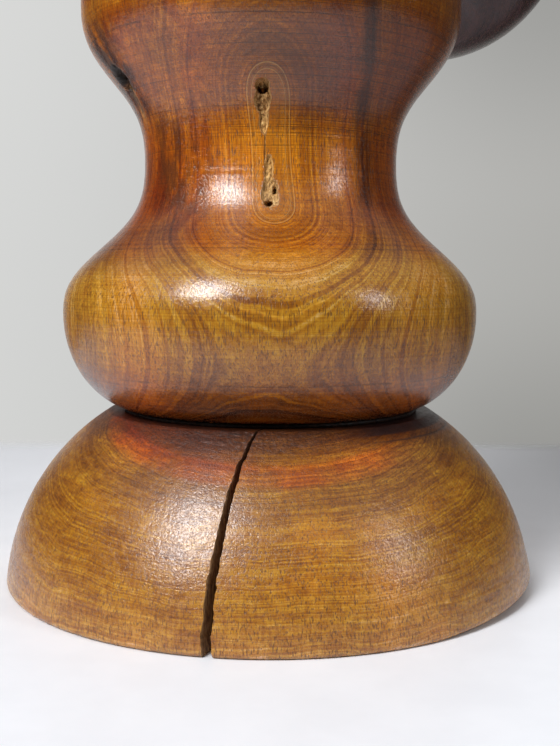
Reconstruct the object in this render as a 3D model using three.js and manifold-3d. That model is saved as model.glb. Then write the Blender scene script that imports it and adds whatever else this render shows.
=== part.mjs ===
// A fertility doll turned on a lathe from solid hardwood, in millimetres, +Z up, front towards -Y.
// A domed foot carries a body turned in one piece from hips to shoulders. Two balls are coped to the
// torso as breasts, a ringed neck plugs into the shoulders, and a thick turned disc is the head.
// Dowels and round tenons hold the pieces together, and black resin fills the joint above the foot.

import * as THREE from 'three';
import { mergeVertices } from 'three/addons/utils/BufferGeometryUtils.js';
import Module from 'manifold-3d';

const wasm = await Module();
wasm.setup();

// Driving dimensions

const gap = 0.3;            // between two pieces that touch
const turnSides = 48;       // sides of a large turned piece
const smallSides = 24;      // sides of dowels, tenons and their holes
const backAngle = 110;      // direction of the tree's centre from the lathe axis, from +X, in degrees

const foot = {
  radius: 75,
  height: 47.6,
  edge: 1.4,                // rounding of the bottom edge
  topRadius: 46.2,          // where the dome's arc meets the flat top
  domeBulge: 6.4,           // rise of the dome's arc over its chord
  warpLift: 2.4,            // how far the warped edge stands off the table
  warpStart: 40,            // distance from the axis where the warp starts
};

const pithOffset = 37;      // distance of the tree's centre from the lathe axis

const dryingCheck = {
  turn: -20,                // turn of the check away from the pith's direction, in degrees
  startWidth: 0.35,
  rimWidth: 3,
};

const resin = { thickness: 0.6 };

const hips = {
  radius: 58.6,
  height: 26.2,             // of the widest line, above the body's bottom
  tuck: 22.6,               // how far the underside curves in
  tuckHeight: 27.2,
  span: 22,                 // height over which the hips fall to the waist
  power: 2.65,
};

const waist = { radius: 35.4 };

const torso = {
  radius: 52.7,
  beltHeight: 111.2,        // of the widest line, above the body's bottom
  span: 23.7,               // height over which the torso falls to the waist
  power: 2.85,
  shoulderRise: 90,         // from the widest line to the top
  roundness: 2.3,
};

const hollow = [            // the two open ends of the bark-lined pith, on the waist
  { height: 54.8, width: 4.4, length: 11.5, depth: 6 },
  { height: 82.6, width: 3.4, length: 7, depth: 8 },
];

const barkPocket = { angle: 40, height: 89.5, width: 5, length: 9, depth: 4 };

const breast = {
  radius: 41.5,
  reach: 57,                // from the axis to the ball's centre
  height: 145.8,            // of the ball's centre, above the body's bottom
  spread: 39,               // to each side of the front, in degrees
};

const footDowel = { radius: 12, intoFoot: 25, intoBody: 27 };
const breastDowel = { radius: 6, intoTorso: 20, intoBall: 20 };

const neck = {
  coreRadius: 15.5,
  bead: 4.8,                // how far a ring stands out
  rings: 4,
  ringHeight: 8.6,
  tenonRadius: 10,
  lowerTenon: 22,
  upperTenon: 20,
};

const head = {
  radius: 59,
  thickness: 44,
  fullness: 3,              // 2 is an ellipse; more makes the rim squarer
  seat: 4.2,                // flat cut where the disc stands on the neck
};

const face = {
  browWidth: 50,
  browRise: 9,
  browBand: 5,
  browHeight: 10,           // of the brow's middle, above the disc's centre
  noseWidth: 10,
  noseLength: 30,
  eyeWidth: 15,
  eyeBand: 5.5,
  eyeApart: 30,
  eyeDrop: 8,
  mouthWidth: 15,
  mouthBand: 6,
  mouthDrop: 34,
  relief: 3.2,
};

// Places worked out from the sizes

const bodyBottom = foot.height + gap + resin.thickness + gap;
const hipLine = bodyBottom + hips.height;
const torsoLine = bodyBottom + torso.beltHeight;
const bodyTop = torsoLine + torso.shoulderRise;
const neckBottom = bodyTop + gap;
const neckTop = neckBottom + neck.rings * neck.ringHeight;
const headSeat = neckTop + gap;
const headCentre = headSeat - head.seat + head.radius;
const neckSeatRadius = neck.coreRadius + neck.bead + 4;
const breastHeight = bodyBottom + breast.height;

// Small tools

const vertical = new THREE.Vector3(0, 1, 0);
const outOfPlane = new THREE.Vector3(0, 0, 1);

function direction(degrees) {
  const angle = THREE.MathUtils.degToRad(degrees);
  return new THREE.Vector3(Math.cos(angle), Math.sin(angle), 0);
}

// A closed outline of [radius, height] points turned about the Z axis.
function turned(outline, sides = turnSides) {
  const points = outline.map(([radius, height]) => new THREE.Vector2(Math.max(radius, 0), height));
  return new THREE.LatheGeometry(points, sides).rotateX(Math.PI / 2);
}

function solid(geometry) {
  const bare = geometry.clone();
  bare.deleteAttribute('normal');
  bare.deleteAttribute('uv');
  const merged = mergeVertices(bare, 1e-4);
  const triangles = [];
  const index = merged.index.array;
  for (let i = 0; i < index.length; i += 3) {
    const [a, b, c] = [index[i], index[i + 1], index[i + 2]];
    if (a !== b && b !== c && c !== a) triangles.push(a, b, c);
  }
  const mesh = new wasm.Mesh({
    numProp: 3,
    vertProperties: new Float32Array(merged.attributes.position.array),
    triVerts: new Uint32Array(triangles),
  });
  return new wasm.Manifold(mesh);
}

function meshOf(name, shape, material) {
  const { vertProperties, triVerts } = shape.getMesh();
  const geometry = new THREE.BufferGeometry();
  geometry.setAttribute('position', new THREE.BufferAttribute(vertProperties, 3));
  geometry.setIndex(new THREE.BufferAttribute(triVerts, 1));
  geometry.computeVertexNormals();
  const mesh = new THREE.Mesh(geometry, material);
  mesh.name = name;
  return mesh;
}

// A cylinder from one point along a direction.
function rod(start, along, length, radius) {
  const geometry = new THREE.CylinderGeometry(radius, radius, length, smallSides);
  geometry.translate(0, length / 2, 0);
  geometry.applyQuaternion(new THREE.Quaternion().setFromUnitVectors(vertical, along));
  return solid(geometry.translate(start.x, start.y, start.z));
}

function upright(bottom, length, radius) {
  return rod(new THREE.Vector3(0, 0, bottom), outOfPlane, length, radius);
}

// Points on the arc from a to b that bulges outwards by the given rise, both ends included.
function arc(a, b, bulge, steps) {
  const chord = Math.hypot(b[0] - a[0], b[1] - a[1]);
  const radius = (chord * chord / 4 + bulge * bulge) / (2 * bulge);
  const half = Math.asin(chord / 2 / radius);
  const along = [(b[0] - a[0]) / chord, (b[1] - a[1]) / chord];
  const out = [along[1], -along[0]];
  return Array.from({ length: steps + 1 }, (_, i) => {
    const angle = half * (2 * i / steps - 1);
    const run = chord / 2 + radius * Math.sin(angle);
    const rise = bulge - radius * (1 - Math.cos(angle));
    return [a[0] + along[0] * run + out[0] * rise, a[1] + along[1] * run + out[1] * rise];
  });
}

// 1 at no distance, falling smoothly to 0 past the span.
function bell(distance, span, power) {
  return Math.exp(-((Math.max(distance, 0) / span) ** power));
}

function steps(from, to, count) {
  return Array.from({ length: count + 1 }, (_, i) => from + (to - from) * i / count);
}

// A flat shape in X and Y, drawn out along Z.
function slab(points, depth) {
  const shape = new THREE.Shape(points.map(([x, y]) => new THREE.Vector2(x, y)));
  return new THREE.ExtrudeGeometry(shape, { depth, bevelEnabled: false });
}

// An upright round-ended slot, cut from a point outside the wood towards the axis.
function slot(angle, outerRadius, middle, width, length, depth) {
  const radius = width / 2;
  const end = length / 2 - radius;
  const roundEnd = (from, shift) => steps(from, from + Math.PI, 6).map((turn) => [
    radius * Math.cos(turn),
    radius * Math.sin(turn) + shift,
  ]);
  const outline = [...roundEnd(0, end), ...roundEnd(Math.PI, -end)];
  const geometry = slab(outline, depth).translate(0, 0, -outerRadius).rotateX(Math.PI / 2);
  return solid(geometry.rotateZ(THREE.MathUtils.degToRad(angle - 90)).translate(0, 0, middle));
}

// Materials

const goldenWood = new THREE.MeshStandardMaterial({ color: 0x9c5f22, roughness: 0.32, metalness: 0 });
const redWood = new THREE.MeshStandardMaterial({ color: 0x8a4a1f, roughness: 0.3, metalness: 0 });
const darkWood = new THREE.MeshStandardMaterial({ color: 0x4a2a22, roughness: 0.28, metalness: 0 });
const rawWood = new THREE.MeshStandardMaterial({ color: 0xb98a55, roughness: 0.75, metalness: 0 });
const blackResin = new THREE.MeshStandardMaterial({ color: 0x17100d, roughness: 0.35, metalness: 0 });

// The foot

function makeFoot() {
  const outline = [
    [0, 0],
    [foot.radius - foot.edge, 0],
    ...arc([foot.radius, foot.edge], [foot.topRadius, foot.height], foot.domeBulge, 12),
    [0, foot.height],
  ];
  const mortiseDepth = footDowel.intoFoot + gap;
  const mortise = upright(foot.height - mortiseDepth, mortiseDepth + gap, footDowel.radius + gap);
  return solid(turned(outline)).subtract(mortise).subtract(dryingSplit()).subtract(warpCut());
}

// The radial split that opened from the tree's centre to the rim as the foot dried.
function dryingSplit() {
  const start = direction(backAngle).multiplyScalar(pithOffset);
  const run = direction(backAngle + dryingCheck.turn);
  const side = new THREE.Vector3(-run.y, run.x, 0);
  const length = foot.radius;
  const widthGain = (dryingCheck.rimWidth - dryingCheck.startWidth) / (foot.radius - pithOffset);
  const endWidth = dryingCheck.startWidth + widthGain * length;
  const corner = (along, across) => [
    start.x + run.x * along + side.x * across,
    start.y + run.y * along + side.y * across,
  ];
  const plan = [
    corner(0, -dryingCheck.startWidth / 2),
    corner(length, -endWidth / 2),
    corner(length, endWidth / 2),
    corner(0, dryingCheck.startWidth / 2),
  ];
  return solid(slab(plan, foot.height + 2).translate(0, 0, -1));
}

// The wedge of air under the edge that lifted as the foot warped.
function warpCut() {
  const reach = foot.radius + 1;
  const lift = foot.warpLift * (reach - foot.warpStart) / (foot.radius - foot.warpStart);
  const profile = [[foot.warpStart, 0], [foot.warpStart, -1], [reach, -1], [reach, lift]];
  const wedge = slab(profile, 2 * reach).translate(0, 0, -reach).rotateX(Math.PI / 2);
  return solid(wedge.rotateZ(THREE.MathUtils.degToRad(backAngle + 90)));
}

// The joint above the foot

function bodyBottomRadius() {
  return hips.radius - hips.tuck * (1 - Math.sqrt(Math.max(1 - (hips.height / hips.tuckHeight) ** 2, 0)));
}

function makeResin() {
  const bottom = foot.height + gap;
  const outer = Math.min(bodyBottomRadius(), foot.topRadius) - gap;
  const inner = footDowel.radius + 2 * gap;
  const outline = [
    [inner, bottom],
    [outer, bottom],
    [outer, bottom + resin.thickness],
    [inner, bottom + resin.thickness],
    [inner, bottom],
  ];
  return solid(turned(outline));
}

// The body: hips, waist, torso and shoulders in one turning

function makeFootDowel() {
  const bottom = foot.height - footDowel.intoFoot;
  const top = bodyBottom + footDowel.intoBody - gap;
  return upright(bottom, top - bottom, footDowel.radius);
}

// The waist's radius grows by a bell-shaped share of the hips from below and of the torso from above.
function waistRadiusAt(height) {
  const fromHips = (hips.radius - waist.radius) * bell(height - hipLine, hips.span, hips.power);
  const fromTorso = (torso.radius - waist.radius) * bell(torsoLine - height, torso.span, torso.power);
  return waist.radius + fromHips + fromTorso;
}

// The outline grows outwards by the given allowance, so that a ball can be coped to the torso.
function bodyOutline(allowance, bottom) {
  const under = steps(bodyBottom, hipLine, 7).slice(0, -1).map((height) => {
    const share = (hipLine - height) / hips.tuckHeight;
    return [hips.radius - hips.tuck * (1 - Math.sqrt(Math.max(1 - share * share, 0))), height];
  });
  const middle = steps(hipLine, torsoLine, 20).slice(0, -1).map((height) => [
    waistRadiusAt(height),
    height,
  ]);
  const upper = steps(0, Math.PI / 2, 9).map((angle) => {
    const rise = torso.shoulderRise * Math.sin(angle) ** (2 / torso.roundness);
    const width = (torso.radius - neckSeatRadius) * Math.cos(angle);
    return [neckSeatRadius + Math.max(width, 0), torsoLine + rise];
  });
  const wall = [...under, ...middle, ...upper].filter(([, height]) => height >= bottom);
  return wall.map(([radius, height]) => [radius + allowance, height]);
}

function turnedBody(allowance, bottom = bodyBottom) {
  const wall = bodyOutline(allowance, bottom);
  return solid(turned([[0, wall[0][1]], ...wall, [0, bodyTop]]));
}

function makeBody() {
  const footHole = upright(bodyBottom - gap, footDowel.intoBody + gap, footDowel.radius + gap);
  const neckDepth = neck.lowerTenon + gap;
  const neckHole = upright(bodyTop - neckDepth, neckDepth + gap, neck.tenonRadius + gap);
  let body = turnedBody(0).subtract(footHole).subtract(neckHole);
  for (const end of hollow) {
    const middle = bodyBottom + end.height;
    const deep = torso.radius - waistRadiusAt(middle) + end.depth;
    body = body.subtract(slot(backAngle, torso.radius, middle, end.width, end.length, deep));
  }
  const bark = { ...barkPocket, middle: bodyBottom + barkPocket.height };
  const barkSurface = waistRadiusAt(bark.middle);
  const barkDeep = torso.radius - barkSurface + bark.depth;
  body = body.subtract(slot(bark.angle, torso.radius, bark.middle, bark.width, bark.length, barkDeep));
  for (const side of [-1, 1]) body = body.subtract(breastPeg(side, gap));
  return body;
}

// The breasts

function breastDirection(side) {
  return direction(-90 + side * breast.spread);
}

// The dowel that holds a ball, or the hole for it when an allowance is given.
function breastPeg(side, allowance) {
  const along = breastDirection(side);
  const surface = torsoRadiusAt(breastHeight);
  const inner = surface - breastDowel.intoTorso - allowance;
  const length = breastDowel.intoTorso + breastDowel.intoBall + 2 * allowance;
  const start = along.clone().multiplyScalar(inner);
  start.z = breastHeight;
  return rod(start, along, length, breastDowel.radius + allowance);
}

function torsoRadiusAt(height) {
  const share = Math.min(Math.max((height - torsoLine) / torso.shoulderRise, 0), 1);
  const angle = Math.asin(share ** (torso.roundness / 2));
  return neckSeatRadius + (torso.radius - neckSeatRadius) * Math.cos(angle);
}

function makeBreast(side) {
  const ball = new THREE.SphereGeometry(breast.radius, 32, 18).rotateX(Math.PI / 2);
  const centre = breastDirection(side).multiplyScalar(breast.reach);
  const size = 2 * (breast.radius + breast.reach);
  const otherHalf = new THREE.BoxGeometry(size, 2 * size, 2 * size);
  otherHalf.translate(side * (gap / 2 - size / 2), 0, breastHeight);
  return solid(ball.translate(centre.x, centre.y, breastHeight))
    .subtract(turnedBody(gap, torsoLine - torso.span))
    .subtract(solid(otherHalf))
    .subtract(breastPeg(side, gap));
}

// The neck

function makeNeck() {
  const rings = [];
  for (let ring = 0; ring < neck.rings; ring += 1) {
    const bottom = neckBottom + ring * neck.ringHeight;
    for (const angle of steps(0, Math.PI, 5).slice(0, -1)) {
      const height = bottom + neck.ringHeight * (1 - Math.cos(angle)) / 2;
      rings.push([neck.coreRadius + neck.bead * Math.sin(angle), height]);
    }
  }
  const outline = [
    [0, neckBottom - neck.lowerTenon],
    [neck.tenonRadius, neckBottom - neck.lowerTenon],
    [neck.tenonRadius, neckBottom],
    ...rings,
    [neck.coreRadius, neckTop],
    [neck.tenonRadius, neckTop],
    [neck.tenonRadius, neckTop + neck.upperTenon],
    [0, neckTop + neck.upperTenon],
  ];
  return solid(turned(outline, 32));
}

// The head

function headDepthAt(distance) {
  return head.thickness / 2 * Math.sqrt(Math.max(1 - (distance / head.radius) ** head.fullness, 0));
}

function makeHead() {
  const outline = steps(0, Math.PI, 14).map((angle) => {
    const radius = head.radius * Math.max(Math.sin(angle), 0) ** (2 / head.fullness);
    return [radius, -head.thickness / 2 * Math.cos(angle)];
  });
  outline[0][0] = 0;
  outline[outline.length - 1][0] = 0;
  const disc = turned(outline, turnSides).rotateX(Math.PI / 2).translate(0, 0, headCentre);
  const size = 3 * head.radius;
  const below = new THREE.BoxGeometry(size, size, size).translate(0, 0, headSeat - size / 2);
  return solid(disc)
    .add(faceRelief())
    .subtract(solid(below))
    .subtract(upright(headSeat - 2 * gap, neck.upperTenon + 2 * gap, neck.tenonRadius + gap));
}

// Brow and nose in one T, two closed eyes and a small mouth, standing out of the disc's front.
function faceRelief() {
  const browTop = steps(-1, 1, 10).map((share) => [share * face.browWidth / 2, browLine(share)]);
  const browUnder = [...browTop].reverse().map(([x, z]) => [x, z - face.browBand]);
  let relief = onFront([...browUnder, ...browTop], 0.6);
  const noseTop = face.browHeight - face.browBand / 2;
  const noseFoot = noseTop - face.noseLength;
  const wing = face.noseWidth / 2;
  const nose = [[-wing * 0.4, noseTop], [-wing, noseFoot + 2], [-wing * 0.6, noseFoot]];
  const otherWing = [...nose].reverse().map(([x, z]) => [-x, z]);
  relief = relief.add(onFront([...nose, ...otherWing], 1.3));
  for (const side of [-1, 1]) {
    const middle = [side * face.eyeApart / 2, face.browHeight - face.browBand - face.eyeDrop];
    relief = relief.add(onFront(oval(middle, face.eyeWidth, face.eyeBand), 0.5));
  }
  const mouth = oval([0, face.browHeight - face.mouthDrop], face.mouthWidth, face.mouthBand);
  return relief.add(onFront(mouth, 0.5));
}

function browLine(share) {
  return face.browHeight + face.browRise * Math.sin(Math.PI * Math.abs(share)) * 0.6;
}

function oval([x, z], width, height) {
  return steps(0, 2 * Math.PI, 14).slice(0, -1).map((angle) => [
    x + width / 2 * Math.cos(angle),
    z + height / 2 * Math.sin(angle),
  ]);
}

// An outline on the disc's front, standing out by a share of the relief where the disc is thickest.
function onFront(points, share) {
  const shape = slab(points, head.thickness / 2 + share * face.relief);
  return solid(shape.rotateX(Math.PI / 2).translate(0, 0, headCentre));
}

// The doll

const doll = new THREE.Group();
doll.add(meshOf('foot', makeFoot(), goldenWood));
doll.add(meshOf('foot_dowel', makeFootDowel(), rawWood));
doll.add(meshOf('joint_resin', makeResin(), blackResin));
doll.add(meshOf('body', makeBody(), goldenWood));
for (const [name, side] of [['right', -1], ['left', 1]]) {
  doll.add(meshOf(`breast_${name}`, makeBreast(side), darkWood));
  doll.add(meshOf(`breast_dowel_${name}`, breastPeg(side, 0), rawWood));
}
doll.add(meshOf('neck', makeNeck(), redWood));
doll.add(meshOf('head', makeHead(), goldenWood));

export default doll;
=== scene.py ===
# A turned, lacquered fertility doll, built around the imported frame.
import math

import bmesh
import bpy
import numpy as np
from mathutils import Matrix


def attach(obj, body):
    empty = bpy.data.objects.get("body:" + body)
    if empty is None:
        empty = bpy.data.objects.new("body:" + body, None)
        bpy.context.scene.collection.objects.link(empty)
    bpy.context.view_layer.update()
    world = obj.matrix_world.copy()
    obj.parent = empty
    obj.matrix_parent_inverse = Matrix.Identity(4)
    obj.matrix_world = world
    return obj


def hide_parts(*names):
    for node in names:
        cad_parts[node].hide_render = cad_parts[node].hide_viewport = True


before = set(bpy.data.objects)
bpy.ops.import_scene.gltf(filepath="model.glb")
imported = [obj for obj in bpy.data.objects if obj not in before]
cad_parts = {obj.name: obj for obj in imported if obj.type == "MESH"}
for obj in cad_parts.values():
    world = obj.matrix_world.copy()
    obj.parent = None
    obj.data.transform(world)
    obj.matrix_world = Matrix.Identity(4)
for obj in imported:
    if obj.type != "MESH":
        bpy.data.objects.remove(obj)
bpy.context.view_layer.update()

from types import SimpleNamespace

millimetre = 0.001
frontAngle = 110          # direction from the lathe axis to the tree's pith, which faces the viewer
print("frame loaded:", len(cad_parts), "nodes")


# A socket of a node. Arithmetic on it adds Math nodes.
class Signal:
    def __init__(self, socket):
        self.socket = socket
        self.tree = socket.id_data

    # Any node: its type, its settings, which are set first, then the values or links of its sockets.
    @staticmethod
    def node(tree, kind, settings=None, sockets=None, output=0):
        made = tree.nodes.new(kind)
        for name, value in (settings or {}).items():
            if name == "stops":
                ramp = made.color_ramp
                while len(ramp.elements) < len(value):
                    ramp.elements.new(0.5)
                for element, (position, shade) in zip(ramp.elements, value):
                    element.position = position
                    element.color = (*shade, 1)
            else:
                setattr(made, name, value)
        for name, value in (sockets or {}).items():
            if isinstance(value, Signal):
                tree.links.new(value.socket, made.inputs[name])
            else:
                made.inputs[name].default_value = value
        return Signal(made.outputs[output])

    # a Math node with this signal first; flipped puts it second
    def maths(self, operation, *others):
        sockets = dict(enumerate((self, *others)))
        return Signal.node(self.tree, "ShaderNodeMath", {"operation": operation}, sockets)

    def flipped(self, operation, other):
        return Signal.node(self.tree, "ShaderNodeMath", {"operation": operation}, {0: other, 1: self})

    def __add__(self, other):
        return self.maths("ADD", other)

    def __sub__(self, other):
        return self.maths("SUBTRACT", other)

    def __mul__(self, other):
        return self.maths("MULTIPLY", other)

    def __truediv__(self, other):
        return self.maths("DIVIDE", other)

    def __rsub__(self, other):
        return self.flipped("SUBTRACT", other)

    __radd__ = __add__
    __rmul__ = __mul__

    # 0 below low, 1 above high, smooth between; high may be below low
    def step(self, low, high):
        sockets = {"Value": self, "From Min": low, "From Max": high}
        return Signal.node(self.tree, "ShaderNodeMapRange", {"interpolation_type": "SMOOTHSTEP"}, sockets)

    # 0 outside, 1 inside, smooth over the rise and over the fall
    def within(self, rise, fall):
        return self.step(*rise) * self.step(*fall)

    # 1 closer to a place than close, 0 further from it than far
    def near(self, place, far, close):
        return (self - place).maths("ABSOLUTE").step(far, close)

    # 1 at a place, falling in a straight line to 0 at half a width away
    def peak(self, place, halfWidth):
        return (1 - (self - place).maths("ABSOLUTE") / halfWidth).maths("MAXIMUM", 0)

    # crests of a sine that repeats every so many units: 0 below the foot given, 1 at the top
    def crests(self, apart, foot):
        return (self * (2 * math.pi / apart)).maths("SINE").step(foot, 1.0)

    # noise along a line, 0 to 1
    def noise(self, detail=1.0, roughness=0.5):
        sockets = {"W": self, "Scale": 1.0, "Detail": detail, "Roughness": roughness}
        return Signal.node(self.tree, "ShaderNodeTexNoise", {"noise_dimensions": "1D"}, sockets)


# Noise in space, 0 to 1, with its own scale along each axis of the grain, per millimetre.
def grainNoise(place, scale, detail=2.0, roughness=0.5, distortion=0.0):
    times = {"operation": "MULTIPLY"}
    stretched = Signal.node(place.tree, "ShaderNodeVectorMath", times, {0: place, 1: scale})
    sockets = {"Vector": stretched, "Scale": 1.0, "Detail": detail, "Roughness": roughness,
               "Distortion": distortion}
    return Signal.node(place.tree, "ShaderNodeTexNoise", {}, sockets)


# Between two colours by a factor; blend may be MIX, MULTIPLY and so on.
def mixed(factor, first, second, blend="MIX"):
    sockets = {0: factor, 6: first, 7: second}
    settings = {"data_type": "RGBA", "blend_type": blend}
    return Signal.node(factor.tree, "ShaderNodeMix", settings, sockets, output=2)


# Opaque, from linear red, green and blue.
def colour(red, green, blue):
    return (red, green, blue, 1)


# The three parts of a vector.
def axes(vector):
    parts = Signal.node(vector.tree, "ShaderNodeSeparateXYZ", {}, {"Vector": vector})
    return tuple(Signal(output) for output in parts.socket.node.outputs)


# The shading point in millimetres in a turned frame, and its three parts: across, back and height.
def placeIn(tree, turn, shift=(0, 0, 0)):
    objectPlace = Signal.node(tree, "ShaderNodeTexCoord", output="Object")
    sockets = {"Vector": objectPlace, "Rotation": turn, "Location": shift, "Scale": (1 / millimetre,) * 3}
    place = Signal.node(tree, "ShaderNodeMapping", {}, sockets)
    return place, *axes(place)


# A material with an empty node tree, and the tree.
def newMaterial(name):
    material = bpy.data.materials.new(name)
    material.use_nodes = True
    material.node_tree.nodes.clear()
    return material, material.node_tree


# Ends a tree with a Principled shader that has these values and links.
def closeMaterial(tree, sockets):
    shader = Signal.node(tree, "ShaderNodeBsdfPrincipled", {}, sockets)
    output = tree.nodes.new("ShaderNodeOutputMaterial")
    tree.links.new(shader.socket, output.inputs["Surface"])


# Noise in space that every wood uses: how fine it is across the grain twice and then along it, per
# millimetre, its detail and roughness, and where there is one its distortion.
grainPatterns = {
    "wave": ((0.03, 0.03, 0.012), 2, 0.55),
    "ripple": ((0.14, 0.14, 0.04), 2, 0.5),
    "blotch": ((0.04, 0.04, 0.018), 3, 0.6),
    "fibre": ((1.3, 1.3, 0.04), 2, 0.7),
    "weave": ((0.35, 0.35, 0.35), 2, 0.6),
    "figure": ((0.09, 0.09, 0.5), 2, 0.6, 0.6),
    "dimple": ((1.3, 1.3, 1.9), 2, 0.65),
}

goldenWood = {
    "turn": (0, 0, math.radians(270 - frontAngle)),   # puts the pith side at -Y, the viewer's right at +X
    "shift": (0, 0, 0),
    "pithBack": -37.5,        # from the axis to the pith at the waist, in millimetres; minus is forward
    "pithLean": 18.5,         # how much nearer the axis the pith is in the foot
    "leanFrom": 105.0,        # the height below which it leans, over how many millimetres and how suddenly
    "leanSpan": 63.0,
    "leanPower": 1.4,
    "pithSway": 0.9,          # how far the pith goes to the right below the waist, and to the left above it
    "swayHeight": 118.0,
    "swaySpan": 16.0,
    "waveSize": 3.0,          # how far the growth rings wander, in long waves and in short ones
    "ripple": 1.1,
    "wanderFrom": (2, 30),    # distances from the pith over which the wander fades in
    "fineness": 1.3,          # per millimetre: growth lines, bands, broad bands, marks and turning lines
    "bandFineness": 0.36,
    "broadFineness": 0.1,
    "markFineness": 1.7,
    "latheFineness": 3.6,
    "lateApart": 2.3,         # millimetres between dark late lines, and between pale lines
    "paleApart": 3.7,
    "fineLines": 0.5,         # how much of each pattern goes into the lightness
    "bands": 0.24,
    "broadBands": 0.2,
    "lateLines": 0.08,
    "figure": 0.14,           # streaks lying across the fibres
    "fibre": 0.42,
    "marks": 0.24,
    "blotch": 0.5,
    "weave": 0.2,
    "calmHeights": (122, 136),   # heights over which the growth lines grow weaker, and by how much
    "calm": 0.4,
    "poreScale": (3.9, 3.9, 0.5),
    "poreDarkness": 0.75,
    "paleLines": 0.26,
    "lathe": 0.55,            # darkness of the fine turning lines
    "busyHeights": ((110, 124), (156, 148)),   # where the turning lines are darkest
    "busyAcross": (-18, 2),
    "grooves": 0.014,         # depths in millimetres: turning grooves, dimples in the lacquer and so on
    "dimples": 0.06,
    "fibreDepth": 0.02,
    "weaveDepth": 0.07,
    "poreDepth": 0.018,
    "tornDepth": 0.5,
    "tornTint": (1.2, 1.06, 0.84),
    "coat": 0.22,
    "coatRoughness": 0.3,
    "shine": 0.6,
    "roughness": 0.19,
    "tornRoughness": 0.5,
    "palette": (
        (0.00, (0.024, 0.006, 0.002)),
        (0.20, (0.085, 0.023, 0.003)),
        (0.40, (0.215, 0.068, 0.005)),
        (0.56, (0.350, 0.138, 0.007)),
        (0.74, (0.500, 0.245, 0.014)),
        (1.00, (0.680, 0.440, 0.130)),
    ),
    "rampHeight": 400.0,
    # share of that height: lightness around 0.5 (partly painted light), redness, and a veil of painted
    # reflection
    "heights": (
        (0.000, (0.64, 0.00, 0.80)),
        (0.022, (0.58, 0.00, 0.42)),
        (0.070, (0.53, 0.00, 0.00)),
        (0.104, (0.50, 0.00, 0.00)),
        (0.117, (0.42, 0.20, 0.00)),
        (0.124, (0.30, 0.55, 0.10)),
        (0.146, (0.42, 0.45, 0.10)),
        (0.156, (0.50, 0.20, 0.16)),
        (0.172, (0.56, 0.05, 0.16)),
        (0.196, (0.66, 0.00, 0.20)),
        (0.222, (0.68, 0.00, 0.20)),
        (0.234, (0.48, 0.40, 0.00)),
        (0.252, (0.54, 0.50, 0.00)),
        (0.300, (0.62, 0.40, 0.00)),
        (0.322, (0.48, 0.45, 0.06)),
        (0.335, (0.47, 0.60, 0.10)),
        (0.366, (0.48, 0.50, 0.06)),
        (0.384, (0.54, 0.10, 0.00)),
        (0.500, (0.50, 0.20, 0.00)),
        (1.000, (0.52, 0.10, 0.00)),
    ),
}
woodTints = {
    "warm": colour(1.2, 0.62, 0.35),
    "tableVeilTint": colour(0.94, 0.9, 2.4),
    "paleLine": colour(1.9, 2.0, 3.0),
    "pore": colour(0.085, 0.026, 0.006),
    "turningLine": colour(0.06, 0.018, 0.006),
}
splinterPalette = (
    (0.26, (0.040, 0.017, 0.008)),
    (0.40, (0.200, 0.105, 0.040)),
    (0.52, (0.450, 0.285, 0.125)),
    (0.70, (0.720, 0.560, 0.330)),
)


# Distance from the pith line: the root of the squares of the offsets across and back. The line leans back
# by a power of the drop below leanFrom, and sways sideways in proportion to the height at the waist.
def fromPith(across, back, height, wood):
    sway = (wood["swayHeight"] - height) / wood["swaySpan"]
    sway = sway.maths("MINIMUM", 1).maths("MAXIMUM", -1) * wood["pithSway"]
    lean = ((wood["leanFrom"] - height) / wood["leanSpan"]).maths("MAXIMUM", 0)
    lean = lean.maths("POWER", wood["leanPower"]) * wood["pithLean"]
    sideways = across - sway
    inwards = back - lean - wood["pithBack"]
    return (sideways * sideways + inwards * inwards).maths("SQRT")


# Growth lines along the grown distance: a sum of fine, banded and broad noise, with thin dark lines at even
# steps. Also the broad noise, and a mask of thin pale lines.
def growthLines(grown, grain, wood):
    fine = (grown * wood["fineness"]).noise(2.0, 0.65) - 0.5
    band = (grown * wood["bandFineness"] + 5.3).noise() - 0.5
    broad = (grown * wood["broadFineness"] + 11.7).noise() - 0.5
    late = (grown + band * 5).crests(wood["lateApart"], 0.7) * (grain.weave + broad).step(-0.12, 0.15)
    pale = (grown + band * 6).crests(wood["paleApart"], 0.8) * (grain.weave * 2 - broad).step(-0.1, 0.25)
    rings = fine * wood["fineLines"] + band * wood["bands"] + broad * wood["broadBands"]
    return rings - late * wood["lateLines"], broad, pale


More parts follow.
